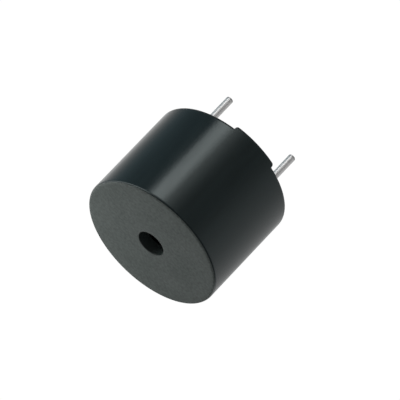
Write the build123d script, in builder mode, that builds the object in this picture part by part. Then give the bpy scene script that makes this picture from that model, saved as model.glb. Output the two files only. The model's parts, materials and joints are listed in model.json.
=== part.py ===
# Self-driven magnetic buzzer of the 12 mm class, with two wire pins for a circuit board.
# The sound axis is +Z with the sound port up. The origin is the centre of the seating
# plane under the two feet. The pins stand on the X axis and point down. Millimetres.
from build123d import *
import os

# Case: one moulded cup, open at the bottom
case_diameter = 12.0
case_height = 9.3
case_wall = 0.8
face_thickness = 1.0
face_edge = 0.1
sound_port_diameter = 2.3
front_chamber_height = 0.55
rim_edge = 0.15

# Feet: two stretches of the rim that stand proud of the rest
foot_height = 0.32
foot_width = 4.0
foot_corner_radius = 0.2

# Pins: round and tinned, thicker where they sit in the board, the positive one longer
pin_diameter = 0.6
pin_inset = 2.75
positive_pin_reach = 4.8
negative_pin_reach = 4.3
pin_tip_edge = 0.12
pin_shank_diameter = 1.0
pin_head_diameter = 1.4
pin_head_height = 0.25

# Clearances shared by the fits inside the case
slip_clearance = 0.05
air_gap = 0.3
head_clearance = 0.3

# Sealing resin: fills the open end up to the board
resin_recess = 0.35
resin_depth = 1.4
resin_creep = 0.2
pin_meniscus_height = 0.25
pin_meniscus_width = 0.3
pin_meniscus_edge = 0.05

# Circuit board and magnetic circuit
board_thickness = 0.8
yoke_thickness = 0.8
core_share = 0.4
core_shank_share = 0.7
core_proud = 0.25
core_edge = 0.15
magnet_wall = 0.85
magnet_edge = 0.15

# Support ring and diaphragm
ring_wall = 0.55
ring_lip_wall = 0.4
ring_lip_height = 0.45
ring_ledge_width = 0.4
ring_ledge_thickness = 0.8
diaphragm_thickness = 0.08
armature_diameter = 3.6
armature_thickness = 0.4
armature_edge = 0.08

# Coil: bobbin, winding and the two ends of the wire
bobbin_tube_wall = 0.3
coil_gap = 0.4
bobbin_flange_thickness = 0.25
winding_recess = 0.25
lead_diameter = 0.12
lead_hole_diameter = 0.5
lead_bend = 0.2

# Driver parts on the underside of the board
driver_gap = 0.3
transistor_length = 2.0
transistor_width = 1.25
transistor_height = 0.9
transistor_standoff = 0.1
transistor_draft_angle = 7.0
leg_width = 0.3
leg_thickness = 0.13
leg_pitch = 1.3
leg_span = 2.1
leg_foot_length = 0.26
resistor_length = 1.6
resistor_width = 0.8
resistor_height = 0.45
resistor_cap_length = 0.3

# Soldered joints
pin_solder_diameter = 1.8
pin_solder_height = 0.55
pin_solder_neck = 0.1
lead_solder_diameter = 0.8
lead_solder_height = 0.3
lead_solder_neck = 0.12

# Levels along the sound axis, from the board up and from the sound face down
resin_z = foot_height + resin_recess
board_z = resin_z + resin_depth
yoke_z = board_z + board_thickness
coil_z = yoke_z + yoke_thickness
roof_z = case_height - face_thickness
shoulder_z = roof_z - front_chamber_height
seat_z = shoulder_z - ring_lip_height
ledge_z = seat_z - ring_ledge_thickness
core_top_z = seat_z - air_gap
bobbin_top_z = core_top_z - core_proud
winding_low_z = coil_z + bobbin_flange_thickness
winding_high_z = bobbin_top_z - bobbin_flange_thickness
armature_z = seat_z + diaphragm_thickness

# Radii, from the outside of the case to the core
case_radius = case_diameter / 2
port_radius = sound_port_diameter / 2
bore_radius = case_radius - case_wall
ring_radius = bore_radius - slip_clearance
ring_bore_radius = ring_radius - ring_wall
ledge_radius = ring_bore_radius - ring_ledge_width
lip_radius = ring_radius - ring_lip_wall
diaphragm_radius = lip_radius - slip_clearance
magnet_radius = ring_bore_radius - slip_clearance
magnet_bore_radius = magnet_radius - magnet_wall
flange_radius = magnet_bore_radius - coil_gap
winding_radius = flange_radius - winding_recess
core_radius = flange_radius * core_share
bobbin_bore_radius = core_radius + slip_clearance
tube_radius = bobbin_bore_radius + bobbin_tube_wall
core_shank_radius = core_radius * core_shank_share
pin_radius = pin_diameter / 2
pin_shank_radius = pin_shank_diameter / 2
pin_head_radius = pin_head_diameter / 2
pin_solder_radius = pin_solder_diameter / 2
pin_solder_tip_radius = pin_shank_radius + pin_solder_neck
lead_radius = lead_diameter / 2
lead_solder_radius = lead_solder_diameter / 2
lead_solder_tip_radius = lead_radius + lead_solder_neck
lead_ring_radius = flange_radius + coil_gap / 2

# Places of the pins, of the ends of the coil wire and of the driver between them
pin_offset = case_radius - pin_inset
pin_places = [(-pin_offset, 0), (pin_offset, 0)]
lead_places = [(0, -lead_ring_radius), (0, lead_ring_radius)]
pin_names = ["positive", "negative"]
pin_reaches = [positive_pin_reach, negative_pin_reach]
lead_names = ["start", "finish"]
driver_reach = lead_ring_radius - lead_solder_radius - driver_gap
transistor_place = driver_reach - leg_span / 2
resistor_place = resistor_width / 2 - driver_reach

os.makedirs("parts", exist_ok=True)

# Feet: a short ring cut to the width of the feet, with rounded ends and a broken outer edge
with BuildPart() as feet:
    with BuildSketch():
        Circle(case_radius)
        Circle(bore_radius, mode=Mode.SUBTRACT)
    extrude(amount=foot_height + rim_edge)
    chamfer(feet.edges().group_by(Axis.Z)[0].sort_by(SortBy.RADIUS)[-1], length=rim_edge)
    with BuildSketch(Plane.XZ):
        with Locations((0, foot_height)):
            foot_outline = Rectangle(foot_width, 2 * foot_height)
        fillet(foot_outline.vertices().group_by(Axis.Z)[0], radius=foot_corner_radius)
    extrude(amount=case_radius, both=True, mode=Mode.INTERSECT)

# Case: cup with a shoulder for the support ring, a front chamber and the sound port
with BuildPart() as case:
    with BuildSketch(Plane.XZ):
        with BuildLine():
            Polyline(
                (port_radius, roof_z),
                (lip_radius, roof_z),
                (lip_radius, shoulder_z),
                (bore_radius, shoulder_z),
                (bore_radius, foot_height),
                (case_radius, foot_height),
                (case_radius, case_height),
                (port_radius, case_height),
                close=True,
            )
        make_face()
    revolve(axis=Axis.Z)
    chamfer(case.edges().group_by(Axis.Z)[-1].sort_by(SortBy.RADIUS)[-1], length=face_edge)
    chamfer(case.edges().group_by(Axis.Z)[0].sort_by(SortBy.RADIUS)[-1], length=rim_edge)
    add(feet.part)

# Support ring: bears on the board, keeps the magnet down and carries the diaphragm
with BuildPart() as support_ring:
    with BuildSketch(Plane.XZ):
        with BuildLine():
            Polyline(
                (ring_bore_radius, yoke_z),
                (ring_radius, yoke_z),
                (ring_radius, shoulder_z),
                (lip_radius, shoulder_z),
                (lip_radius, seat_z),
                (ledge_radius, seat_z),
                (ledge_radius, ledge_z),
                (ring_bore_radius, ledge_z),
                close=True,
            )
        make_face()
    revolve(axis=Axis.Z)

# Diaphragm: thin disc that lies loose on the seat of the support ring
with BuildPart() as diaphragm:
    with BuildSketch(Plane.XY.offset(seat_z)):
        Circle(diaphragm_radius)
    extrude(amount=diaphragm_thickness)

# Armature disc: welded to the middle of the diaphragm, above the core
with BuildPart() as armature_disc:
    with BuildSketch(Plane.XY.offset(armature_z)):
        Circle(armature_diameter / 2)
    extrude(amount=armature_thickness)
    chamfer(armature_disc.edges().group_by(Axis.Z)[-1], length=armature_edge)

# Yoke plate: iron disc on the board, clear of the pin heads and the coil's ends
with BuildPart() as yoke_plate:
    with BuildSketch(Plane.XY.offset(yoke_z)):
        Circle(magnet_radius)
        Circle(core_shank_radius, mode=Mode.SUBTRACT)
        with Locations(*pin_places):
            Circle(pin_head_radius + head_clearance, mode=Mode.SUBTRACT)
        with Locations(*lead_places):
            Circle(lead_hole_diameter / 2, mode=Mode.SUBTRACT)
    extrude(amount=yoke_thickness)

# Pole core: iron post, its shank staked into the yoke plate
with BuildPart() as pole_core:
    with BuildSketch(Plane.XY.offset(yoke_z)):
        Circle(core_shank_radius)
    extrude(amount=yoke_thickness)
    with BuildSketch(Plane.XY.offset(coil_z)):
        Circle(core_radius)
    extrude(amount=core_top_z - coil_z)
    chamfer(pole_core.edges().group_by(Axis.Z)[-1], length=core_edge)

# Ring magnet: stands on the yoke plate, under the ledge of the support ring
with BuildPart() as ring_magnet:
    with BuildSketch(Plane.XY.offset(coil_z)):
        Circle(magnet_radius)
        Circle(magnet_bore_radius, mode=Mode.SUBTRACT)
    extrude(amount=ledge_z - coil_z - slip_clearance)
    chamfer(ring_magnet.edges().group_by(Axis.Z)[-1], length=magnet_edge)

# Coil bobbin: spool with two flanges, pushed over the core
with BuildPart() as coil_bobbin:
    with BuildSketch(Plane.XZ):
        with BuildLine():
            Polyline(
                (bobbin_bore_radius, coil_z),
                (flange_radius, coil_z),
                (flange_radius, winding_low_z),
                (tube_radius, winding_low_z),
                (tube_radius, winding_high_z),
                (flange_radius, winding_high_z),
                (flange_radius, bobbin_top_z),
                (bobbin_bore_radius, bobbin_top_z),
                close=True,
            )
        make_face()
    revolve(axis=Axis.Z)

# Coil winding: fills the bobbin between its flanges
with BuildPart() as coil_winding:
    with BuildSketch(Plane.XY.offset(winding_low_z)):
        Circle(winding_radius)
        Circle(tube_radius, mode=Mode.SUBTRACT)
    extrude(amount=winding_high_z - winding_low_z)

# Circuit board: round, with holes for the pins and for the coil's ends
with BuildPart() as circuit_board:
    with BuildSketch(Plane.XY.offset(board_z)):
        Circle(ring_radius)
        with Locations(*pin_places):
            Circle(pin_shank_radius + slip_clearance, mode=Mode.SUBTRACT)
        with Locations(*lead_places):
            Circle(lead_radius + slip_clearance, mode=Mode.SUBTRACT)
    extrude(amount=board_thickness)

# Everything under the board hangs from its underside and is cast into the resin
hung = (Align.CENTER, Align.CENTER, Align.MAX)
embedded = []

# Pins: tail with a bevelled tip, shank through resin and board, head on the board, and
# the soldered joint under it
for name, place, reach in zip(pin_names, pin_places, pin_reaches):
    with BuildPart() as pin:
        with BuildSketch(Plane.XY.offset(-reach)):
            with Locations(place):
                Circle(pin_radius)
        extrude(amount=reach + resin_z)
        chamfer(pin.edges().group_by(Axis.Z)[0], length=pin_tip_edge)
        with BuildSketch(Plane.XY.offset(resin_z)):
            with Locations(place):
                Circle(pin_shank_radius)
        extrude(amount=yoke_z - resin_z)
        with BuildSketch(Plane.XY.offset(yoke_z)):
            with Locations(place):
                Circle(pin_head_radius)
        extrude(amount=pin_head_height)
    pin.part.label = name + "_pin"
    export_step(pin.part, "parts/" + name + "_pin.step")

    with BuildPart() as pin_solder:
        with Locations((*place, board_z)):
            Cone(pin_solder_tip_radius, pin_solder_radius, pin_solder_height, align=hung)
        add(pin.part, mode=Mode.SUBTRACT)
    pin_solder.part.label = name + "_pin_solder"
    export_step(pin_solder.part, "parts/" + name + "_pin_solder.step")
    embedded += [pin.part, pin_solder.part]

# Ends of the coil wire: out of the winding, down past the yoke and through the board
for name, place in zip(lead_names, lead_places):
    side = 1 if place[1] > 0 else -1
    lead_top_z = winding_low_z + lead_bend
    with BuildPart() as coil_lead:
        with BuildLine(Plane.YZ) as lead_route:
            Polyline(
                (side * winding_radius, lead_top_z),
                (place[1] - side * lead_bend, lead_top_z),
                (place[1], lead_top_z - lead_bend),
                (place[1], board_z - lead_solder_height),
            )
        with BuildSketch(Plane(lead_route.line @ 0, z_dir=lead_route.line % 0)):
            Circle(lead_radius)
        sweep(path=lead_route.line, transition=Transition.RIGHT)
    coil_lead.part.label = "coil_lead_" + name
    export_step(coil_lead.part, "parts/coil_lead_" + name + ".step")

    with BuildPart() as lead_solder:
        with Locations((*place, board_z)):
            Cone(lead_solder_tip_radius, lead_solder_radius, lead_solder_height, align=hung)
        add(coil_lead.part, mode=Mode.SUBTRACT)
    lead_solder.part.label = "coil_" + name + "_solder"
    export_step(lead_solder.part, "parts/coil_" + name + "_solder.step")
    embedded += [coil_lead.part, lead_solder.part]

# Transistor body: moulded block with drafted sides, held off the board by its legs
transistor_z = board_z - transistor_standoff
transistor_mid_z = transistor_z - transistor_height / 2
with BuildPart() as transistor_body:
    with BuildSketch(Plane.XY.offset(transistor_mid_z)):
        with Locations((0, transistor_place)):
            Rectangle(transistor_length, transistor_width)
    extrude(amount=transistor_height / 2, both=True, taper=transistor_draft_angle)

# Transistor legs: two towards the middle of the board and one towards its edge
leg_root = transistor_width / 2 - leg_thickness
leg_knee = leg_span / 2 - leg_foot_length
leg_foot_z = board_z - leg_thickness / 2
leg_sides = [(-1, -leg_pitch / 2), (-1, leg_pitch / 2), (1, 0)]
with BuildPart() as transistor_legs:
    for side, leg_x in leg_sides:
        with BuildSketch(Plane.YZ.offset(leg_x)):
            with BuildLine() as leg_line:
                Polyline(
                    (transistor_place + side * leg_root, transistor_mid_z),
                    (transistor_place + side * leg_knee, transistor_mid_z),
                    (transistor_place + side * leg_knee, leg_foot_z),
                    (transistor_place + side * leg_span / 2, leg_foot_z),
                )
            trace(line_width=leg_thickness)
        extrude(amount=leg_width / 2, both=True)
    add(transistor_body.part, mode=Mode.SUBTRACT)
    split(bisect_by=Plane.XY.offset(board_z), keep=Keep.BOTTOM)

# Chip resistor: ceramic body between two plated ends, flat against the board
resistor_mid_z = board_z - resistor_height / 2
with BuildPart() as base_resistor:
    with Locations((0, resistor_place, resistor_mid_z)):
        Box(resistor_length - 2 * resistor_cap_length, resistor_width, resistor_height)

with BuildPart() as resistor_end_caps:
    cap_pitch = resistor_length - resistor_cap_length
    with Locations((0, resistor_place, resistor_mid_z)):
        with GridLocations(cap_pitch, 0, 2, 1):
            Box(resistor_cap_length, resistor_width, resistor_height)

embedded += [transistor_body.part, transistor_legs.part, base_resistor.part, resistor_end_caps.part]

# Sealing resin: fills the open end, creeps down the wall and climbs a little along the pins
with BuildPart() as sealing_resin:
    with BuildSketch(Plane.XZ):
        with BuildLine():
            Polyline(
                (bore_radius, resin_z - resin_creep),
                (bore_radius, board_z),
                (0, board_z),
                (0, resin_z),
                (bore_radius - resin_creep, resin_z),
                close=True,
            )
        make_face()
    revolve(axis=Axis.Z)
    meniscus_tip_radius = pin_radius + pin_meniscus_edge
    meniscus_root_radius = pin_radius + pin_meniscus_width
    for place in pin_places:
        with Locations((*place, resin_z)):
            Cone(meniscus_tip_radius, meniscus_root_radius, pin_meniscus_height, align=hung)
    for piece in embedded:
        add(piece, mode=Mode.SUBTRACT)

for name, piece in [
    ("case", case),
    ("support_ring", support_ring),
    ("diaphragm", diaphragm),
    ("armature_disc", armature_disc),
    ("yoke_plate", yoke_plate),
    ("pole_core", pole_core),
    ("ring_magnet", ring_magnet),
    ("coil_bobbin", coil_bobbin),
    ("coil_winding", coil_winding),
    ("circuit_board", circuit_board),
    ("transistor_body", transistor_body),
    ("transistor_legs", transistor_legs),
    ("base_resistor", base_resistor),
    ("resistor_end_caps", resistor_end_caps),
    ("sealing_resin", sealing_resin),
]:
    piece.part.label = name
    export_step(piece.part, "parts/" + name + ".step")
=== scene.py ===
"""Magnetic buzzer: the finished outside of the part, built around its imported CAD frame.

The sound axis is +Z and the origin is the centre of the seating plane under the feet.
The moulded case, the two pins and the sealing resin are smooth surfaces that stand for
their CAD nodes; the pieces inside stay as CAD nodes and get finishes of their own.
"""

import json
import math

import bpy
import numpy as np
from bpy.props import FloatProperty, FloatVectorProperty, PointerProperty
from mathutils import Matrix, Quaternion, Vector


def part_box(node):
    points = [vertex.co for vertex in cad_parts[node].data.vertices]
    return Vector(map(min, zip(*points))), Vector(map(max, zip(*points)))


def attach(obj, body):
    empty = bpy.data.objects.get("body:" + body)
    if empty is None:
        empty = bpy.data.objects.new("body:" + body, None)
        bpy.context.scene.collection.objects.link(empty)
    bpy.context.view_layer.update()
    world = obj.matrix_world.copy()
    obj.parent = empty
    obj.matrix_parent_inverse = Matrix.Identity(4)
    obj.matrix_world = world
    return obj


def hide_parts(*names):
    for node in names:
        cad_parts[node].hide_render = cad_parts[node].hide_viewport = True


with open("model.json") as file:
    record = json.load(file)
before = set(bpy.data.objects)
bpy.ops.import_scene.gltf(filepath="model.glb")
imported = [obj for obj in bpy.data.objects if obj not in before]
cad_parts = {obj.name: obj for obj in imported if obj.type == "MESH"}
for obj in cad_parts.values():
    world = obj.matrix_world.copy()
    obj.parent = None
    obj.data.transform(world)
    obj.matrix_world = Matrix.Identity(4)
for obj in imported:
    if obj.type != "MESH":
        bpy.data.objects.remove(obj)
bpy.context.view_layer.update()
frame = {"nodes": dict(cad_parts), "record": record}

bl_info = {
    "name": "Magnetic buzzer",
    "version": (1, 0, 0),
    "blender": (4, 5, 0),
    "location": "3D View > Sidebar > Buzzer",
    "description": "Builds the moulded case, pins and resin of a magnetic buzzer on its CAD frame",
    "category": "Object",
}

MM = 0.001
CASE_LOW, CASE_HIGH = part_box("case")
POSITIVE_LOW, POSITIVE_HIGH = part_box("positive_pin")
NEGATIVE_LOW, NEGATIVE_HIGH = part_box("negative_pin")
BOARD_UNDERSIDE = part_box("circuit_board")[0].z

# Finishes of the case, in the order of its materials
FACE, WALL, INSIDE = 0, 1, 2

# How finely the surfaces are divided
FOOT_COLUMNS, CORNER_COLUMNS, COLUMNS_BETWEEN_FEET = 40, 7, 129
PIN_COLUMNS = 64
RESIN_COLUMNS, RESIN_ROWS = 300, 150
SHEET_COLUMNS = 181

# Edges that turn by more degrees than this are shaded sharp
CASE_SHARP, TURNED_SHARP = 28.0, 40.0

# Power of the distance in the hollow curve of resin that wets a wall or pin
HOLLOW_POWER = 1.4

# Part of a pattern's range over which colour and gloss swing, where most of a noise lies
PATTERN_LOW, PATTERN_HIGH = 0.3, 0.7

# What daylight takes from the red of a neutral grey and adds to its green and blue
DAYLIGHT = np.array([-0.1, 0.2, 0.34])

# Half the floor's side, the glow it has when looked at, and the strength of the even light
FLOOR_HALF, FLOOR_GLOW, AMBIENT = 3.0, 0.67, 0.4

# Camera: film width in millimetres, and how near and how far it sees
SENSOR_WIDTH = 36.0
CLIP_START, CLIP_END = 0.01, 20.0


def length(name, description, default):
    """A size in metres that shows in the scene's own units."""
    return FloatProperty(name=name, description=description, default=default, min=0.0,
                         precision=5, unit="LENGTH", subtype="DISTANCE")


def colour(name, description, default):
    """A colour as the shaders take it."""
    return FloatVectorProperty(name=name, description=description, default=default,
                               min=0.0, max=1.0, size=3, subtype="COLOR")


class BuzzerCaseSizes(bpy.types.PropertyGroup):
    """Sizes of the moulded cup."""

    diameter: length("Diameter", "Outside of the case", CASE_HIGH.x - CASE_LOW.x)
    height: length("Height", "From the seating plane to the sound face", CASE_HIGH.z)
    wall: length("Wall", "Thickness of the wall round the bore", 0.8 * MM)
    face: length("Face", "Thickness of the sound face", 1.0 * MM)
    face_edge: length("Face edge", "Rounding between the sound face and the wall", 0.25 * MM)
    port: length("Sound port", "Diameter of the hole in the sound face", 2.3 * MM)
    port_edge: length("Port edge", "Rounding at the mouth of the sound port", 0.06 * MM)
    chamber: length("Front chamber", "Height of the chamber under the sound face", 0.55 * MM)
    chamber_wall: length("Chamber wall", "Thickness of the wall round the chamber", 1.25 * MM)
    rim_edge: length("Rim edge", "Rounding of the outer edge of the rim and feet", 0.25 * MM)
    foot_height: length("Foot height", "How far the feet stand proud of the rim", 0.32 * MM)
    foot_width: length("Foot width", "Width of each foot across the case", 4.0 * MM)
    foot_corner: length("Foot corner", "Rounding at the two ends of a foot", 0.2 * MM)
    foot_draft: length("Foot draft", "How much wider a foot is at its root", 0.02 * MM)


class BuzzerPinSizes(bpy.types.PropertyGroup):
    """Sizes of the two tinned pins."""

    tail: length("Tail", "Diameter of the free end", 0.6 * MM)
    shank: length("Shank", "Diameter in the resin and the board", 1.0 * MM)
    head: length("Head", "Diameter of the head on the board", POSITIVE_HIGH.x - POSITIVE_LOW.x)
    head_height: length("Head height", "Thickness of the head", 0.25 * MM)
    tip: length("Tip", "Rounding of the cut tip", 0.06 * MM)
    bare: length("Bare tip", "Length of the tip that the tin leaves bare", 0.2 * MM)
    dome: length("Tip dome", "How far the middle of the tip stands out", 0.012 * MM)
    shank_level: length("Shank level", "Height at which the shank starts", 0.67 * MM)


class BuzzerResinSizes(bpy.types.PropertyGroup):
    """Sizes of the resin that seals the open end."""

    level: length("Level", "Height of the resin's free surface", 0.67 * MM)
    top: length("Top", "Height of the board's underside", BOARD_UNDERSIDE)
    wall_creep: length("Wall creep", "How far the resin creeps down the bore", 0.2 * MM)
    pin_creep: length("Pin creep", "How far the resin climbs along a pin", 0.25 * MM)
    pin_spread: length("Pin spread", "How far that collar spreads from the pin", 0.3 * MM)


class BuzzerColours(bpy.types.PropertyGroup):
    """Colours of the finishes."""

    # Several times the wall's colour though both are one plastic: partly the greyer look of the spark
    # texture, partly painted light on the sound face
    face: colour("Sound face", "Spark-textured black plastic", (0.049, 0.0578, 0.0546))
    wall: colour("Wall", "Smooth black plastic", (0.0042, 0.0095, 0.0102))
    bore: colour("Bore", "Dull plastic inside the case", (0.0118, 0.017, 0.0158))
    resin: colour("Resin", "Cast black resin", (0.012, 0.012, 0.012))
    tin: colour("Tin", "Tinned pins and legs", (0.775, 0.77, 0.765))
    cut: colour("Cut wire", "Bare metal at the cut tips", (0.5, 0.5, 0.5))
    ring: colour("Support ring", "Dark moulded ring", (0.05, 0.05, 0.05))
    steel: colour("Spring steel", "Rolled diaphragm", (0.55, 0.55, 0.56))
    iron: colour("Iron", "Plated core, yoke and armature", (0.45, 0.45, 0.46))
    magnet: colour("Magnet", "Bonded magnet powder", (0.08, 0.08, 0.085))
    bobbin: colour("Bobbin", "Natural nylon", (0.75, 0.73, 0.66))
    copper: colour("Copper", "Enamelled wire", (0.6, 0.23, 0.1))
    laminate: colour("Laminate", "Paper laminate of the board", (0.45, 0.3, 0.12))
    chip: colour("Chip", "Moulding of the transistor", (0.03, 0.03, 0.03))
    ceramic: colour("Ceramic", "Body of the chip resistor", (0.8, 0.8, 0.78))
    solder: colour("Solder", "Soldered joints", (0.7, 0.7, 0.7))
    floor: colour("Floor", "Pale studio floor", (0.86, 0.86, 0.86))


class BuzzerStageSizes(bpy.types.PropertyGroup):
    """Where the camera stands and how far below the part the floor lies."""

    azimuth: FloatProperty(name="Azimuth", description="Camera angle round the sound axis",
                           default=math.radians(6.1), subtype="ANGLE")
    elevation: FloatProperty(name="Elevation", description="Camera angle above the seating plane",
                             default=math.radians(29.0), subtype="ANGLE")
    roll: FloatProperty(name="Roll", description="Turn of the camera about its own axis",
                        default=math.radians(-136.34), subtype="ANGLE")
    distance: length("Distance", "From the camera to the middle of the case", 462.0 * MM)
    right: length("Right", "How far the camera is moved to its right", 0.882 * MM)
    up: length("Up", "How far the camera is moved up", 0.348 * MM)
    lens: FloatProperty(name="Lens", description="Focal length on a 36 mm sensor", default=550.4,
                        subtype="DISTANCE_CAMERA")
    floor_drop: length("Floor drop", "Height of the part above the floor", 200.0 * MM)


class BuzzerProperties(bpy.types.PropertyGroup):
    """Everything that a user would change."""

    case: PointerProperty(type=BuzzerCaseSizes)
    pins: PointerProperty(type=BuzzerPinSizes)
    resin: PointerProperty(type=BuzzerResinSizes)
    colours: PointerProperty(type=BuzzerColours)
    stage: PointerProperty(type=BuzzerStageSizes)


def arc(centre, radius, start, stop, count):
    """Points (r, z) on a circle round centre, from angle start to angle stop in degrees."""
    turn = np.radians(np.linspace(start, stop, count))
    return np.stack([centre[0] + radius * np.cos(turn), centre[1] + radius * np.sin(turn)], axis=1)


def run(start, stop, count):
    """Points (r, z) spread evenly on a straight run, without the last one."""
    return np.linspace(start, stop, count, endpoint=False)


def grid_faces(rows, columns, close_rows):
    """Corner numbers of the quads of a grid that is closed round its columns.

    Corner (i, j) has number i * columns + j; each quad joins row i to row i + 1 and
    column j to column j + 1, and the last row joins the first if close_rows is set."""
    i = np.arange(rows if close_rows else rows - 1)[:, None]
    j = np.arange(columns)[None, :]
    below, beside = (i + 1) % rows, (j + 1) % columns
    quads = np.stack([i * columns + j, i * columns + beside,
                      below * columns + beside, below * columns + j], axis=-1)
    return quads.reshape(-1, 4)


def signed_volume(points, polygons):
    """Volume inside closed quads or triangles: a sum of tetrahedra from the origin."""
    a, b, c, d = (points[polygons[:, k]] for k in (0, 1, 2, -1))
    return (np.einsum("ij,ij->i", a, np.cross(b, c)).sum()
            + np.einsum("ij,ij->i", a, np.cross(c, d)).sum()) / 6.0


def make_piece(name, points, quads, fans, sharp_degrees):
    """A smooth-shaded object from corner places, quads and pole triangles, faces outwards."""
    fan_rows = np.concatenate(fans) if fans else np.zeros((0, 3), int)
    closed = signed_volume(points, quads) + signed_volume(points, fan_rows)
    if closed < 0:
        quads, fan_rows = quads[:, ::-1], fan_rows[:, ::-1]
    mesh = bpy.data.meshes.new(name)
    mesh.from_pydata(points.tolist(), [], quads.tolist() + fan_rows.tolist())
    if mesh.validate():
        raise RuntimeError(name + " has broken faces")
    mesh.shade_smooth()
    mesh.set_sharp_from_angle(angle=math.radians(sharp_degrees))
    piece = bpy.data.objects.new(name, mesh)
    bpy.context.scene.collection.objects.link(piece)
    return piece


def foot_columns(sizes, flat_count, corner_count):
    """Offset across a foot and height of its underside, from one end to the other.

    The foot starts at its root, runs down its drafted end, turns round a quarter circle
    and crosses flat on the seating plane; the other end mirrors it."""
    half, corner = sizes.foot_width / 2, sizes.foot_corner
    turn = np.radians(np.linspace(0, 90, corner_count))
    root = -half - sizes.foot_draft
    offset = np.concatenate([[root - sizes.foot_draft, root], corner * (1 - np.cos(turn)) - half])
    height = np.concatenate([[sizes.foot_height] * 2, corner * (1 - np.sin(turn))])
    flat = np.linspace(corner - half, half - corner, flat_count)[1:-1]
    return (np.concatenate([offset, flat, -offset[::-1]]),
            np.concatenate([height, np.zeros_like(flat), height[::-1]]))


def case_profile(sizes):
    """Profile of the cup as radius, height, finish and rim mark, from the port round to the port.

    It joins straight runs and quarter circles. The finish of a row holds up to the next row,
    and the heights of rows with a rim mark are counted from the local underside."""
    radius, bore = sizes.diameter / 2, sizes.diameter / 2 - sizes.wall
    chamber = radius - sizes.chamber_wall
    roof, top = sizes.height - sizes.face, sizes.height
    shoulder, port, lip = roof - sizes.chamber, sizes.port / 2, sizes.port_edge
    edge, rim = sizes.face_edge, sizes.rim_edge
    above_rim = 4 * rim + sizes.foot_height
    pieces = [
        (run((port, roof), (port, top - lip), 6), INSIDE, 0),
        (arc((port + lip, top - lip), lip, 180, 105, 6), INSIDE, 0),
        (run((port + lip, top), (radius - edge, top), 16), FACE, 0),
        (arc((radius - edge, top - edge), edge, 90, 48, 7), FACE, 0),
        (arc((radius - edge, top - edge), edge, 42, 0, 8), WALL, 0),
        (run((radius, top - 2 * edge), (radius, above_rim), 12), WALL, 0),
        (run((radius, 1.4 * rim), (radius, rim), 2), WALL, 1),
        (arc((radius - rim, rim), rim, 0, -90, 8), WALL, 1),
        (run((radius - 2 * rim, 0), (bore, 0), 5), WALL, 1),
        (run((bore, 0), (bore, rim), 2), INSIDE, 1),
        (run((bore, above_rim), (bore, shoulder), 6), INSIDE, 0),
        (run((bore, shoulder), (chamber, shoulder), 3), INSIDE, 0),
        (run((chamber, shoulder), (chamber, roof), 3), INSIDE, 0),
        (run((chamber, roof), (port, roof), 8), INSIDE, 0),
    ]
    path = np.concatenate([points for points, _, _ in pieces])
    finish = np.concatenate([np.full(len(points), mark) for points, mark, _ in pieces])
    on_rim = np.concatenate([np.full(len(points), mark) for points, _, mark in pieces])
    return path[:, 0], path[:, 1], finish, on_rim


def case_surface(sizes):
    """The cup: its profile turned about Z, with the underside lowered at two feet.

    A column of the grid crosses a foot at a fixed offset x, so on radius r it stands at the
    angle arcsin(x / r) from the foot's middle; between the feet columns are spread evenly."""
    offset, drop = foot_columns(sizes, FOOT_COLUMNS, CORNER_COLUMNS)
    r, z, finish, on_rim = case_profile(sizes)
    reach = np.clip(r, sizes.diameter / 2 - sizes.wall, sizes.diameter / 2)[:, None]
    across = np.arcsin(offset[None, :] / reach)
    share = np.linspace(0, 1, COLUMNS_BETWEEN_FEET + 2)[1:-1][None, :]
    end = across[:, -1:]
    between = end + share * (math.pi - 2 * end)
    angle = np.concatenate([across, between, across + math.pi, between + math.pi], axis=1)
    level = np.concatenate([drop, np.full(share.size, sizes.foot_height)] * 2)[None, :]
    height = z[:, None] + on_rim[:, None] * level
    points = np.stack([r[:, None] * np.sin(angle), -r[:, None] * np.cos(angle), height], axis=-1)
    rows, columns = angle.shape
    quads = grid_faces(rows, columns, close_rows=True)
    return points.reshape(-1, 3), quads, np.repeat(finish, columns)


def turned_surface(profile, middle, columns):
    """A profile (r, z) turned about the upright axis through middle, closed by a fan at each end.

    The first and last profile points lie on the axis and become the two poles."""
    angle = np.linspace(0, 2 * math.pi, columns, endpoint=False)[None, :]
    r, z = profile[1:-1, :1], profile[1:-1, 1:]
    ring = np.stack([middle[0] + r * np.cos(angle), middle[1] + r * np.sin(angle),
                     z + 0 * angle], axis=-1).reshape(-1, 3)
    poles = np.array([[*middle, profile[0, 1]], [*middle, profile[-1, 1]]])
    rows = len(profile) - 2
    j = np.arange(columns)
    beside = (j + 1) % columns
    last = (rows - 1) * columns
    first_pole = np.full(columns, rows * columns)
    fans = [np.stack([first_pole, beside, j], axis=1),
            np.stack([first_pole + 1, last + j, last + beside], axis=1)]
    return np.concatenate([ring, poles]), grid_faces(rows, columns, close_rows=False), fans


def pin_profile(sizes, low, high):
    """Outline of a pin: a slightly domed tip, the tail, the thicker shank and the head."""
    tail, shank, head = sizes.tail / 2, sizes.shank / 2, sizes.head / 2
    neck = high - sizes.head_height
    return np.concatenate([
        [(0.0, low)],
        run((tail / 3, low + sizes.dome / 4), (tail - sizes.tip, low + sizes.dome), 2),
        arc((tail - sizes.tip, low + sizes.dome + sizes.tip), sizes.tip, -90, 0, 9),
        run((tail, low + 3 * sizes.tip), (tail, sizes.shank_level), 24),
        [(tail, sizes.shank_level), (shank, sizes.shank_level)],
        [(shank, neck), (head, neck), (head, high), (0.0, high)],
    ])


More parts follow.
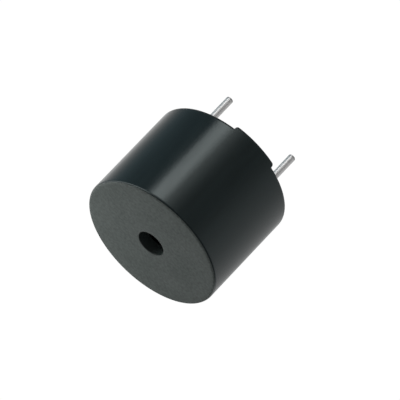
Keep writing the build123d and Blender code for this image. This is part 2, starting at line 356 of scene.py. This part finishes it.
def resin_surface(sizes, bore, pin_places, pin_radius):
    """The cast resin: a disc whose free underside hangs lower at the wall and at each pin.

    It hangs by creep * exp(-(d / spread) ** HOLLOW_POWER) at a distance d from the wall or a
    pin, the hollow curve of a liquid that wets what it meets; the spread is the creep itself
    at the wall and half the collar's width at a pin. The rings lie closer towards the wall,
    as the sine of an even step does, and the sides and top are plain."""
    columns, rows, first_step = RESIN_COLUMNS, RESIN_ROWS, 0.004
    angle = np.linspace(0, 2 * math.pi, columns, endpoint=False)[None, :]
    r = (bore * np.sin(np.linspace(first_step, 1.0, rows) * math.pi / 2))[:, None]
    x, y = r * np.cos(angle), r * np.sin(angle)
    sag = sizes.wall_creep * np.exp(-(((bore - r) / sizes.wall_creep) ** HOLLOW_POWER)) + 0 * angle
    for px, py in pin_places:
        away = np.maximum(np.hypot(x - px, y - py) - pin_radius, 0.0)
        sag = sag + sizes.pin_creep * np.exp(-((2 * away / sizes.pin_spread) ** HOLLOW_POWER))
    under = np.stack([x, y, sizes.level - sag], axis=-1)
    side = np.stack([x[-1:], y[-1:], 0 * x[-1:] + sizes.top], axis=-1)
    points = np.concatenate([under, side]).reshape(-1, 3)
    poles = np.array([[0, 0, sizes.level], [0, 0, sizes.top]])
    j = np.arange(columns)
    beside = (j + 1) % columns
    last = rows * columns
    pole = np.full(columns, (rows + 1) * columns)
    fans = [np.stack([pole, beside, j], axis=1), np.stack([pole + 1, last + j, last + beside], axis=1)]
    return np.concatenate([points, poles]), grid_faces(rows + 1, columns, close_rows=False), fans


class Finish:
    """A procedural finish on the Principled shader, patterned on Object coordinates."""

    def __init__(self, name, base, roughness, metallic=0.0, specular=0.5):
        self.material = bpy.data.materials.new(name)
        self.material.use_nodes = True
        self.material.diffuse_color = (*base, 1.0)
        self.nodes = self.material.node_tree.nodes
        self.links = self.material.node_tree.links
        self.shader = self.nodes["Principled BSDF"]
        self.base = tuple(base)
        self.bump = None
        for socket, value in (("Base Color", (*base, 1.0)), ("Roughness", roughness),
                              ("Metallic", metallic), ("Specular IOR Level", specular)):
            self.shader.inputs[socket].default_value = value
        self.place = self.nodes.new("ShaderNodeTexCoord").outputs["Object"]

    def noise(self, grain, detail=3.0, stretch=(1.0, 1.0, 1.0)):
        """Noise whose grains are about that many metres across, stretched along the axes."""
        mapping = self.nodes.new("ShaderNodeMapping")
        mapping.inputs["Scale"].default_value = tuple(1.0 / (grain * s) for s in stretch)
        texture = self.nodes.new("ShaderNodeTexNoise")
        texture.inputs["Scale"].default_value = 1.0
        texture.inputs["Detail"].default_value = detail
        self.links.new(self.place, mapping.inputs["Vector"])
        self.links.new(mapping.outputs["Vector"], texture.inputs["Vector"])
        return texture.outputs["Fac"]

    def bands(self, pitch):
        """Even bands across Z, one for each layer of wire; at scale 1 a band is pi / 10 wide."""
        wave = self.nodes.new("ShaderNodeTexWave")
        wave.bands_direction = "Z"
        wave.inputs["Scale"].default_value = math.pi / 10.0 / pitch
        wave.inputs["Distortion"].default_value = 0.6
        self.links.new(self.place, wave.inputs["Vector"])
        return wave.outputs["Fac"]

    def mottle(self, pattern, darker, lighter):
        """Lets the colour swing between darker and lighter times the base colour."""
        ramp = self.nodes.new("ShaderNodeValToRGB")
        levels = ((PATTERN_LOW, darker), (PATTERN_HIGH, lighter))
        for stop, (place, level) in zip(ramp.color_ramp.elements, levels):
            stop.position = place
            stop.color = (*(min(1.0, level * c) for c in self.base), 1.0)
        self.links.new(pattern, ramp.inputs["Fac"])
        self.links.new(ramp.outputs["Color"], self.shader.inputs["Base Color"])

    def gloss(self, pattern, smooth, rough):
        """Lets the roughness swing between smooth and rough."""
        spread = self.nodes.new("ShaderNodeMapRange")
        for socket, value in (("From Min", PATTERN_LOW), ("From Max", PATTERN_HIGH),
                              ("To Min", smooth), ("To Max", rough)):
            spread.inputs[socket].default_value = value
        self.links.new(pattern, spread.inputs["Value"])
        self.links.new(spread.outputs["Result"], self.shader.inputs["Roughness"])

    def relief(self, pattern, depth, strength):
        """Raises the surface by a pattern; a second call adds to the first."""
        bump = self.nodes.new("ShaderNodeBump")
        bump.inputs["Distance"].default_value = depth
        bump.inputs["Strength"].default_value = strength
        self.links.new(pattern, bump.inputs["Height"])
        if self.bump:
            self.links.new(self.bump.outputs["Normal"], bump.inputs["Normal"])
        self.links.new(bump.outputs["Normal"], self.shader.inputs["Normal"])
        self.bump = bump


def spark_textured_plastic(tint):
    """Sound face: matt black plastic with the fine grain of a spark-eroded mould; its lighter base
    colour is partly that grain and partly painted light.
    """
    finish = Finish("spark_textured_plastic", tint, roughness=0.62, specular=0.2)
    grain = finish.noise(0.22 * MM, detail=4.0)
    cloud = finish.noise(2.2 * MM, detail=2.0)
    finish.mottle(grain, darker=0.79, lighter=1.21)
    finish.gloss(cloud, smooth=0.58, rough=0.68)
    finish.relief(grain, depth=0.012 * MM, strength=0.55)
    return finish.material


def satin_moulded_plastic(tint):
    """Wall: smooth black plastic with faint drag marks along the draw of the mould, its reflections
    tinted with painted cool light.
    """
    # Painted light: the specular tint makes every reflection on the wall cool, standing for a cool
    # light
    painted_cool_light = (0.88, 1.0, 1.0, 1.0)
    finish = Finish("satin_moulded_plastic", tint, roughness=0.23, specular=0.5)
    finish.shader.inputs["Specular Tint"].default_value = painted_cool_light
    draw = finish.noise(0.5 * MM, detail=3.0, stretch=(1.0, 1.0, 9.0))
    grain = finish.noise(0.13 * MM, detail=2.0)
    finish.mottle(draw, darker=0.85, lighter=1.15)
    finish.gloss(draw, smooth=0.21, rough=0.26)
    finish.relief(grain, depth=0.006 * MM, strength=0.5)
    finish.relief(draw, depth=0.004 * MM, strength=0.15)
    return finish.material


def cast_resin(tint):
    """Resin: glossy black with slow ripples from its own levelling."""
    finish = Finish("cast_resin", tint, roughness=0.16, specular=0.4)
    ripple = finish.noise(1.3 * MM, detail=2.0)
    dust = finish.noise(0.12 * MM, detail=2.0)
    finish.mottle(ripple, darker=0.8, lighter=1.2)
    finish.gloss(dust, smooth=0.12, rough=0.24)
    finish.relief(ripple, depth=0.03 * MM, strength=0.4)
    return finish.material


def tinned_wire(tint):
    """Pins: bright tin with fine drawing lines along the wire and dull patches."""
    finish = Finish("tinned_wire", tint, roughness=0.5, metallic=1.0)
    lines = finish.noise(0.09 * MM, detail=2.0, stretch=(1.0, 1.0, 30.0))
    patches = finish.noise(0.5 * MM, detail=3.0)
    finish.mottle(patches, darker=0.95, lighter=1.05)
    finish.gloss(patches, smooth=0.46, rough=0.54)
    finish.relief(lines, depth=0.002 * MM, strength=0.12)
    return finish.material


def cut_wire(tint):
    """Tips of the pins: bare metal, dull and scored where the wire was cut."""
    finish = Finish("cut_wire", tint, roughness=0.45, metallic=1.0)
    scores = finish.noise(0.06 * MM, detail=3.0, stretch=(1.0, 6.0, 1.0))
    finish.mottle(scores, darker=0.8, lighter=1.2)
    finish.gloss(scores, smooth=0.38, rough=0.55)
    finish.relief(scores, depth=0.006 * MM, strength=0.4)
    return finish.material


def plain_metal(name, tint, roughness, grain, stretch=(1.0, 1.0, 1.0)):
    """Rolled, plated or soldered metal: one grain drives its tone, gloss and relief."""
    finish = Finish(name, tint, roughness, metallic=1.0)
    pattern = finish.noise(grain, detail=3.0, stretch=stretch)
    finish.mottle(pattern, darker=0.9, lighter=1.08)
    finish.gloss(pattern, smooth=0.8 * roughness, rough=1.25 * roughness)
    finish.relief(pattern, depth=0.003 * MM, strength=0.3)
    return finish.material


def plain_moulding(name, tint, roughness, grain, contrast):
    """Moulded, pressed or fired stuff: speckled tone with a little relief."""
    finish = Finish(name, tint, roughness, specular=0.4)
    pattern = finish.noise(grain, detail=4.0)
    finish.mottle(pattern, darker=1.0 - contrast, lighter=1.0 + contrast)
    finish.gloss(pattern, smooth=0.85 * roughness, rough=1.15 * roughness)
    finish.relief(pattern, depth=0.005 * MM, strength=0.35)
    return finish.material


def wound_copper(tint):
    """Winding: copper under clear enamel, in layers of fine wire."""
    finish = Finish("wound_copper", tint, roughness=0.3, metallic=0.85)
    turns = finish.bands(pitch=0.12 * MM)
    finish.mottle(turns, darker=0.7, lighter=1.1)
    finish.relief(turns, depth=0.02 * MM, strength=0.6)
    return finish.material


def settings():
    """The values that the panel shows."""
    return bpy.context.scene.buzzer


def dress(piece, slot_name, node, *materials):
    """Gives a new piece its finishes and its place in the frame, and hides its CAD node; slot_name is
    not used.
    """
    for material in materials:
        piece.data.materials.append(material)
    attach(piece, "root")
    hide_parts(node)


class BUZZER_OT_case(bpy.types.Operator):
    """Build the moulded cup with its sound face, port, rim and feet"""

    bl_idname = "buzzer.case"
    bl_label = "Case"

    def execute(self, context):
        props = settings()
        points, quads, finish = case_surface(props.case)
        piece = make_piece("moulded_case", points, quads, [], CASE_SHARP)
        piece.data.polygons.foreach_set("material_index", finish.astype(np.int32))
        dress(piece, "case_plastic", "case", spark_textured_plastic(props.colours.face),
              satin_moulded_plastic(props.colours.wall),
              plain_moulding("dull_bore", props.colours.bore, roughness=0.5, grain=0.2 * MM,
                             contrast=0.15))
        return {"FINISHED"}


class BUZZER_OT_pins(bpy.types.Operator):
    """Build the two tinned pins, the positive one longer"""

    bl_idname = "buzzer.pins"
    bl_label = "Pins"

    def execute(self, context):
        props = settings()
        tin, cut = tinned_wire(props.colours.tin), cut_wire(props.colours.cut)
        for node, low, high in (("positive_pin", POSITIVE_LOW, POSITIVE_HIGH),
                                ("negative_pin", NEGATIVE_LOW, NEGATIVE_HIGH)):
            profile = pin_profile(props.pins, low.z, high.z)
            middle = ((low.x + high.x) / 2, (low.y + high.y) / 2)
            points, quads, fans = turned_surface(profile, middle, PIN_COLUMNS)
            piece = make_piece(node.replace("pin", "tinned_pin"), points, quads, fans, TURNED_SHARP)
            heights = [points[corners, 2].mean(axis=1) for corners in (quads, *fans)]
            bare = np.concatenate(heights) < low.z + props.pins.bare
            piece.data.polygons.foreach_set("material_index", bare.astype(np.int32))
            dress(piece, "tinned_wire", node, tin, cut)
        return {"FINISHED"}


class BUZZER_OT_resin(bpy.types.Operator):
    """Build the resin that closes the open end and wets the wall and pins"""

    bl_idname = "buzzer.resin"
    bl_label = "Resin"

    def execute(self, context):
        props = settings()
        places = [((low.x + high.x) / 2, 0.0) for low, high in
                  ((POSITIVE_LOW, POSITIVE_HIGH), (NEGATIVE_LOW, NEGATIVE_HIGH))]
        bore = props.case.diameter / 2 - props.case.wall
        points, quads, fans = resin_surface(props.resin, bore, places, props.pins.tail / 2)
        piece = make_piece("levelled_resin", points, quads, fans, TURNED_SHARP)
        dress(piece, "cast_resin", "sealing_resin", cast_resin(props.colours.resin))
        return {"FINISHED"}


class BUZZER_OT_inside(bpy.types.Operator):
    """Give the pieces inside the case their finishes"""

    bl_idname = "buzzer.inside"
    bl_label = "Inside"

    def execute(self, context):
        tints = settings().colours
        # The numbers are a finish's roughness and grain, and for a moulding its contrast
        finishes = {
            "ring_plastic": plain_moulding("ring_plastic", tints.ring, 0.5, 0.2 * MM, 0.15),
            "spring_steel": plain_metal("rolled_spring_steel", tints.steel, 0.5, 0.08 * MM,
                                        stretch=(25.0, 1.0, 1.0)),
            "soft_iron": plain_metal("plated_iron", tints.iron, 0.5, 0.15 * MM),
            "bonded_magnet": plain_moulding("bonded_magnet", tints.magnet, 0.6, 0.06 * MM, 0.35),
            "bobbin_plastic": plain_moulding("natural_nylon", tints.bobbin, 0.45, 0.4 * MM, 0.06),
            "enamelled_copper": wound_copper(tints.copper),
            "board_laminate": plain_moulding("paper_laminate", tints.laminate, 0.55, 0.25 * MM, 0.18),
            "chip_moulding": plain_moulding("chip_moulding", tints.chip, 0.5, 0.07 * MM, 0.2),
            "chip_ceramic": plain_moulding("fired_ceramic", tints.ceramic, 0.4, 0.1 * MM, 0.06),
            "tinned_wire": bpy.data.materials["tinned_wire"],
            "solder": plain_metal("soldered_tin", tints.solder, 0.22, 0.3 * MM),
        }
        for row in frame["record"]["subparts"]:
            node = frame["nodes"][row["node"]]
            if node.hide_render:
                continue
            node.data.materials.clear()
            node.data.materials.append(finishes[row["material_slot"]])
        return {"FINISHED"}


def soft_lamp(name, aim, direction, distance, width, height, power, glint=True):
    """A rectangular lamp that looks at aim from that direction and stays out of the picture.

    Without glint it lights the part but is not mirrored in it, like a lamp behind a screen."""
    light = bpy.data.lights.new(name, "AREA")
    light.shape, light.size, light.size_y, light.energy = "RECTANGLE", width, height, power
    lamp = bpy.data.objects.new(name, light)
    way = Vector(direction).normalized()
    lamp.location = aim + way * distance
    lamp.rotation_mode = "QUATERNION"
    lamp.rotation_quaternion = way.to_track_quat("Z", "Y")
    lamp.visible_camera = False
    lamp.visible_glossy = glint
    bpy.context.scene.collection.objects.link(lamp)


def grey_surround(name, rings, greys, daylight=((0.0, 0.0),)):
    """A grey sheet bent round or laid under the part, seen only in its gloss.

    It is ruled between two rings, each given as radius and height. The grey of a column and
    the share of daylight in it are read off straight lines between the given pairs, each an
    angle in degrees from -Y towards +X and the value there."""
    columns = np.linspace(greys[0][0], greys[-1][0], SHEET_COLUMNS)
    turn = np.radians(columns)[None, :]
    reach, level = np.array(rings).T[:, :, None]
    points = np.stack([reach * np.sin(turn), -reach * np.cos(turn), level + 0 * turn],
                      axis=-1).reshape(-1, 3)
    j = np.arange(SHEET_COLUMNS - 1)
    sheet = bpy.data.meshes.new(name)
    quads = np.stack([j, j + 1, j + 1 + SHEET_COLUMNS, j + SHEET_COLUMNS], axis=1)
    sheet.from_pydata(points.tolist(), [], quads.tolist())
    grey, share = (np.interp(columns, *np.array(pairs).T)[:, None] for pairs in (greys, daylight))
    tone = np.hstack([grey * (1 + share * DAYLIGHT), np.ones_like(grey)])
    shades = sheet.attributes.new("shade", "FLOAT_COLOR", "POINT")
    shades.data.foreach_set("color", np.tile(tone, (2, 1)).ravel())
    material = bpy.data.materials.new(name)
    material.use_nodes = True
    tree = material.node_tree
    tree.nodes.remove(tree.nodes["Principled BSDF"])
    emit, shade = tree.nodes.new("ShaderNodeEmission"), tree.nodes.new("ShaderNodeAttribute")
    shade.attribute_name = "shade"
    tree.links.new(shade.outputs["Color"], emit.inputs["Color"])
    tree.links.new(emit.outputs["Emission"], tree.nodes["Material Output"].inputs["Surface"])
    sheet.materials.append(material)
    card = bpy.data.objects.new(name, sheet)
    card.visible_camera = card.visible_diffuse = card.visible_shadow = False
    bpy.context.scene.collection.objects.link(card)


def seen_directly(tree):
    """1 for rays from the camera, off gloss or through glass, and 0 for light that is scattered."""
    path = tree.nodes.new("ShaderNodeLightPath")
    total = path.outputs["Is Camera Ray"]
    for ray in ("Is Glossy Ray", "Is Transmission Ray"):
        add = tree.nodes.new("ShaderNodeMath")
        add.use_clamp = True
        tree.links.new(total, add.inputs[0])
        tree.links.new(path.outputs[ray], add.inputs[1])
        total = add.outputs["Value"]
    return total


def pale_floor(tint, glow):
    """Studio floor: scatters light, reads as white when looked at, and is clear from below."""
    material = bpy.data.materials.new("pale_floor")
    material.use_nodes = True
    tree = material.node_tree
    tree.nodes.clear()
    new = tree.nodes.new
    output, scatter, emit = (new("ShaderNodeOutputMaterial"), new("ShaderNodeBsdfDiffuse"),
                             new("ShaderNodeEmission"))
    both, clear, choose, side = (new("ShaderNodeAddShader"), new("ShaderNodeBsdfTransparent"),
                                 new("ShaderNodeMixShader"), new("ShaderNodeNewGeometry"))
    strength = new("ShaderNodeMath")
    strength.operation = "MULTIPLY"
    strength.inputs[1].default_value = glow
    scatter.inputs["Color"].default_value = (*tint, 1.0)
    tree.links.new(seen_directly(tree), strength.inputs[0])
    tree.links.new(strength.outputs["Value"], emit.inputs["Strength"])
    tree.links.new(scatter.outputs["BSDF"], both.inputs[0])
    tree.links.new(emit.outputs["Emission"], both.inputs[1])
    tree.links.new(side.outputs["Backfacing"], choose.inputs["Fac"])
    tree.links.new(both.outputs["Shader"], choose.inputs[1])
    tree.links.new(clear.outputs["BSDF"], choose.inputs[2])
    tree.links.new(choose.outputs["Shader"], output.inputs["Surface"])
    return material


def white_surround(ambient):
    """World: white when looked at or mirrored, and a dimmer even light otherwise."""
    world = bpy.data.worlds.new("white_surround")
    world.use_nodes = True
    tree = world.node_tree
    strength = tree.nodes.new("ShaderNodeMath")
    strength.operation = "MULTIPLY_ADD"
    strength.inputs[1].default_value = 1.0 - ambient
    strength.inputs[2].default_value = ambient
    tree.links.new(seen_directly(tree), strength.inputs[0])
    background = tree.nodes["Background"]
    background.inputs["Color"].default_value = (1.0, 1.0, 1.0, 1.0)
    tree.links.new(strength.outputs["Value"], background.inputs["Strength"])
    bpy.context.scene.world = world


def lay_floor(tint, drop):
    """A wide square sheet that far below the seating plane."""
    low, high = -FLOOR_HALF, FLOOR_HALF
    corners = [(low, low, -drop), (high, low, -drop), (high, high, -drop), (low, high, -drop)]
    sheet = bpy.data.meshes.new("floor")
    sheet.from_pydata(corners, [], [(0, 1, 2, 3)])
    sheet.materials.append(pale_floor(tint, FLOOR_GLOW))
    floor = bpy.data.objects.new("floor", sheet)
    bpy.context.scene.collection.objects.link(floor)


def hang_lamps(aim):
    """A near lamp on the sound face, a wide one from the other side and one for the wall's streak."""
    soft_lamp("key_lamp", aim, direction=(0.66, 0.42, 0.62), distance=29 * MM,
              width=20 * MM, height=20 * MM, power=0.009, glint=False)
    soft_lamp("fill_lamp", aim, direction=(-0.6, -0.7, 0.6), distance=300 * MM,
              width=200 * MM, height=200 * MM, power=0.1, glint=False)
    soft_lamp("streak_lamp", aim, direction=(0.644, -0.597, -0.485), distance=160 * MM,
              width=54 * MM, height=60 * MM, power=0.029)


def hang_surrounds():
    """Grey sheets that shade the gloss: one under the part, one round it below the seating plane,
    one round it above, and a nearer one for the bright lines on its edges."""
    reach, edge_reach, low = 180 * MM, 170 * MM, -190 * MM
    # Painted shadow: the grey disc under the part stands for the floor darkened by its shadow, seen
    # only in the gloss
    grey_surround("under_surround", rings=((1 * MM, low), (reach, low)),
                  greys=((-180, 0.3), (180, 0.3)))
    grey_surround("lower_surround", rings=((reach, low), (reach, -12 * MM)),
                  greys=((-180, 0.95), (-165, 0.87), (-150, 0.55), (-100, 0.62), (-60, 0.5), (-20, 0.2),
                         (10, 0.22), (21, 0.5), (31, 1.0), (51, 0.48), (62, 0.2), (110, 0.225),
                         (120, 0.255), (130, 0.325), (141, 0.48), (164, 0.93), (180, 0.95)),
                  daylight=((51, 0.0), (62, 1.0), (120, 1.0), (130, 0.5), (141, 0.0)))
    grey_surround("upper_surround", rings=((reach, 0.0), (reach, 500 * MM)),
                  greys=((-120, 0.3), (-80, 0.1), (40, 0.1), (80, 0.3), (110, 0.5)))
    grey_surround("edge_surround", rings=((edge_reach, 0.0), (edge_reach, 75 * MM)),
                  greys=((15, 0.1), (30, 0.2), (40, 0.6), (50, 0.8), (64, 2.5), (80, 2.5), (92, 1.9),
                         (150, 0.6)))


def place_camera(stage, middle):
    """The camera out from the middle of the case, rolled about its own axis and moved sideways."""
    turn, tilt = stage.azimuth, stage.elevation
    back = Vector((math.sin(turn) * math.cos(tilt), -math.cos(turn) * math.cos(tilt), math.sin(tilt)))
    aim = (-back).to_track_quat("-Z", "Y") @ Quaternion((0.0, 0.0, 1.0), stage.roll)
    camera = bpy.data.objects.new("camera", bpy.data.cameras.new("camera"))
    camera.data.lens, camera.data.sensor_width = stage.lens, SENSOR_WIDTH
    camera.data.clip_start, camera.data.clip_end = CLIP_START, CLIP_END
    camera.rotation_mode = "QUATERNION"
    camera.rotation_quaternion = aim
    camera.location = middle + back * stage.distance + aim @ Vector((stage.right, stage.up, 0.0))
    bpy.context.scene.collection.objects.link(camera)
    bpy.context.scene.camera = camera


class BUZZER_OT_stage(bpy.types.Operator):
    """Set up the floor, the white surround, the lamps, the grey sheets and the camera"""

    bl_idname = "buzzer.stage"
    bl_label = "Stage"

    def execute(self, context):
        props = settings()
        context.scene.view_settings.view_transform = "Standard"
        middle = Vector((0.0, 0.0, props.case.height / 2))
        lay_floor(props.colours.floor, props.stage.floor_drop)
        white_surround(AMBIENT)
        hang_lamps(middle)
        hang_surrounds()
        place_camera(props.stage, middle)
        return {"FINISHED"}


class BUZZER_PT_panel(bpy.types.Panel):
    """The buzzer's operators and values in the sidebar."""

    bl_idname = "BUZZER_PT_panel"
    bl_label = "Magnetic buzzer"
    bl_space_type = "VIEW_3D"
    bl_region_type = "UI"
    bl_category = "Buzzer"

    def draw(self, context):
        for operator in OPERATORS:
            self.layout.operator(operator.bl_idname)
        for group in (settings().case, settings().pins, settings().resin,
                      settings().colours, settings().stage):
            column = self.layout.column()
            for name in group.__annotations__:
                column.prop(group, name)


OPERATORS = (BUZZER_OT_case, BUZZER_OT_pins, BUZZER_OT_resin, BUZZER_OT_inside, BUZZER_OT_stage)
CLASSES = (BuzzerCaseSizes, BuzzerPinSizes, BuzzerResinSizes, BuzzerColours, BuzzerStageSizes,
           BuzzerProperties, *OPERATORS, BUZZER_PT_panel)


def register():
    for cls in CLASSES:
        bpy.utils.register_class(cls)
    bpy.types.Scene.buzzer = PointerProperty(type=BuzzerProperties)


def unregister():
    del bpy.types.Scene.buzzer
    for cls in reversed(CLASSES):
        bpy.utils.unregister_class(cls)


def main():
    """Registers the add-on and builds every piece in order, then the stage."""
    register()
    bpy.ops.buzzer.case()
    bpy.ops.buzzer.pins()
    bpy.ops.buzzer.resin()
    bpy.ops.buzzer.inside()
    bpy.ops.buzzer.stage()


if __name__ == "__main__":
    main()
